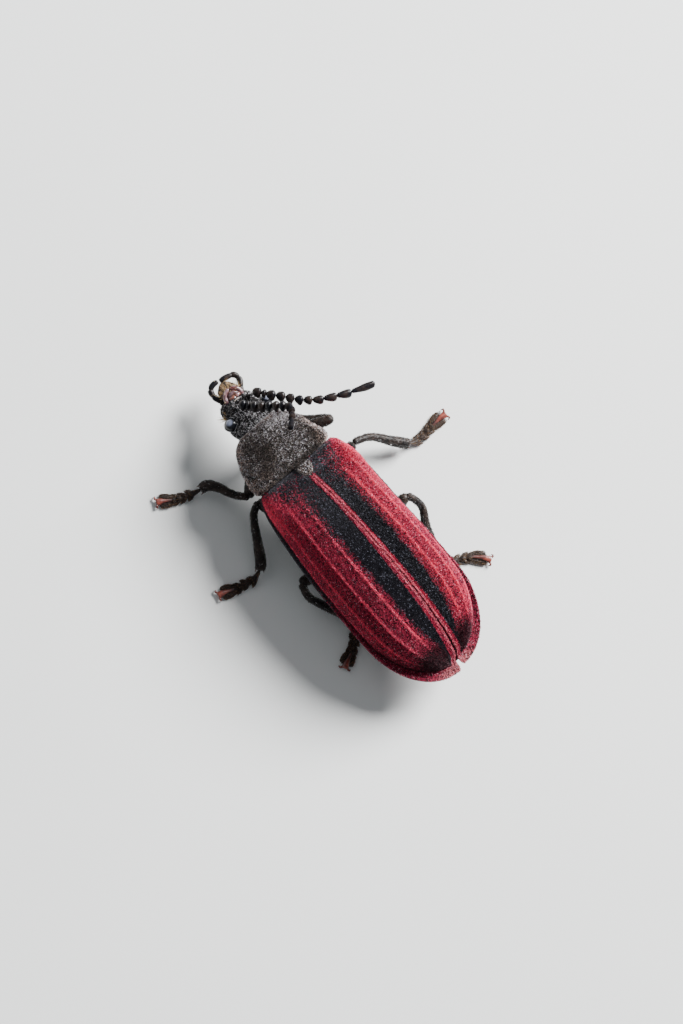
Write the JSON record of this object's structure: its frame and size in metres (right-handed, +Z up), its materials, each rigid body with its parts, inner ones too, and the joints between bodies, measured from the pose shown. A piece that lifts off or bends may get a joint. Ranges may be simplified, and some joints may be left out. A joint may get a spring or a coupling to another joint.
{
  "type": "sinocaulus beetle model",
  "caption": "Life-size still beetle with red velvety wing cases, black stripes beside the seam, grey pronotum and spread legs.",
  "frame": {"origin": "bottom centre of the whole beetle's box, on the plane that its feet stand on", "axes": "+Z up, -Y towards the head, +X towards the beetle's own left side"},
  "size_m": [0.0118, 0.0142, 0.0055],
  "materials": {
    "red_velvet": "matt, dense short red hairs with a fine dark grain and a black stripe",
    "grey_velvet": "matt, dark grey-brown under fine grey hairs",
    "black_cuticle": "black, finely pitted, soft shine",
    "eye_gloss": "glossy black, finely faceted",
    "horn_brown": "reddish brown horn, smooth and shiny",
    "leg_black": "brownish black, fine pale hairs"
  },
  "bodies": {
    "root": {"head": "black_cuticle", "mouthparts": "horn_brown", "palp_left": "black_cuticle", "palp_right": "black_cuticle", "eye_left": "eye_gloss", "eye_right": "eye_gloss", "antenna_left": "black_cuticle", "antenna_right": "black_cuticle", "pronotum": "grey_velvet", "prosternum": "black_cuticle", "scutellum": "grey_velvet", "elytron_left": "red_velvet", "elytron_right": "red_velvet", "thorax": "black_cuticle", "abdomen": "black_cuticle", "femur_front_left": "leg_black", "femur_front_right": "leg_black", "femur_middle_left": "leg_black", "femur_middle_right": "leg_black", "femur_hind_left": "leg_black", "femur_hind_right": "leg_black", "tibia_front_left": "leg_black", "tibia_front_right": "leg_black", "tibia_middle_left": "leg_black", "tibia_middle_right": "leg_black", "tibia_hind_left": "leg_black", "tibia_hind_right": "leg_black", "tarsus_front_left": "leg_black", "tarsus_front_right": "leg_black", "tarsus_middle_left": "leg_black", "tarsus_middle_right": "leg_black", "tarsus_hind_left": "leg_black", "tarsus_hind_right": "leg_black"}
  },
  "joints": []
}
